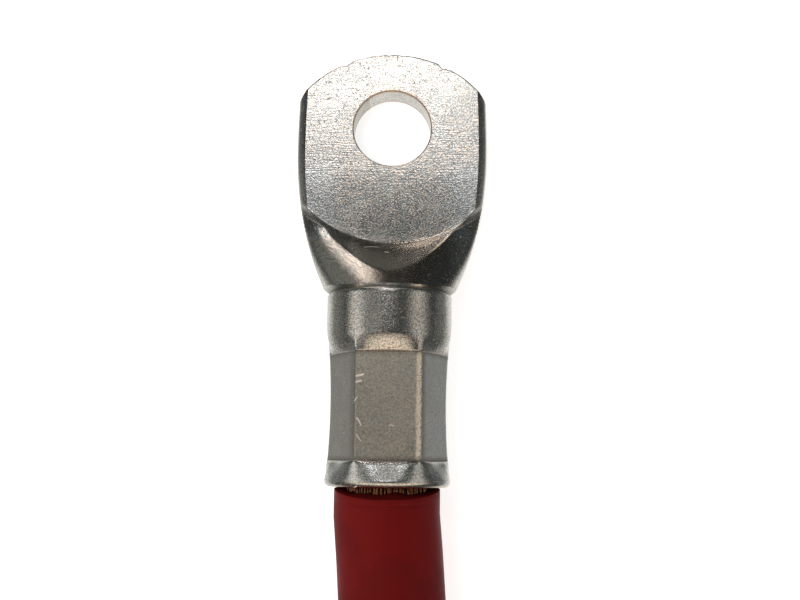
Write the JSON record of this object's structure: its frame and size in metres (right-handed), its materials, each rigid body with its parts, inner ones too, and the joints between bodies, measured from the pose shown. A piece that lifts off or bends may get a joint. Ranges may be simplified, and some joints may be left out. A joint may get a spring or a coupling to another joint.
{
  "type": "cable lug",
  "caption": "Tinned copper tube lug with a flat round-tipped palm and stud hole, hex crimped onto a short jacketed stranded cable.",
  "frame": {"origin": "axis of the stud hole at the palm's back, the face that bolts down", "axes": "+Z out of the palm's front face along the stud hole; +Y towards the palm's tip; the barrel and the cable run towards -Y"},
  "size_m": [0.0217, 0.1165, 0.0127],
  "materials": {
    "tinned_copper": "tin plated copper, dull bright with fine speckle, coppery wear on edges",
    "bare_copper": "bare copper strands, slightly tarnished",
    "red_jacket": "dark red PVC, semi-gloss"
  },
  "bodies": {
    "root": {"lug": "tinned_copper", "conductor": "bare_copper", "cable_jacket": "red_jacket"}
  },
  "joints": []
}
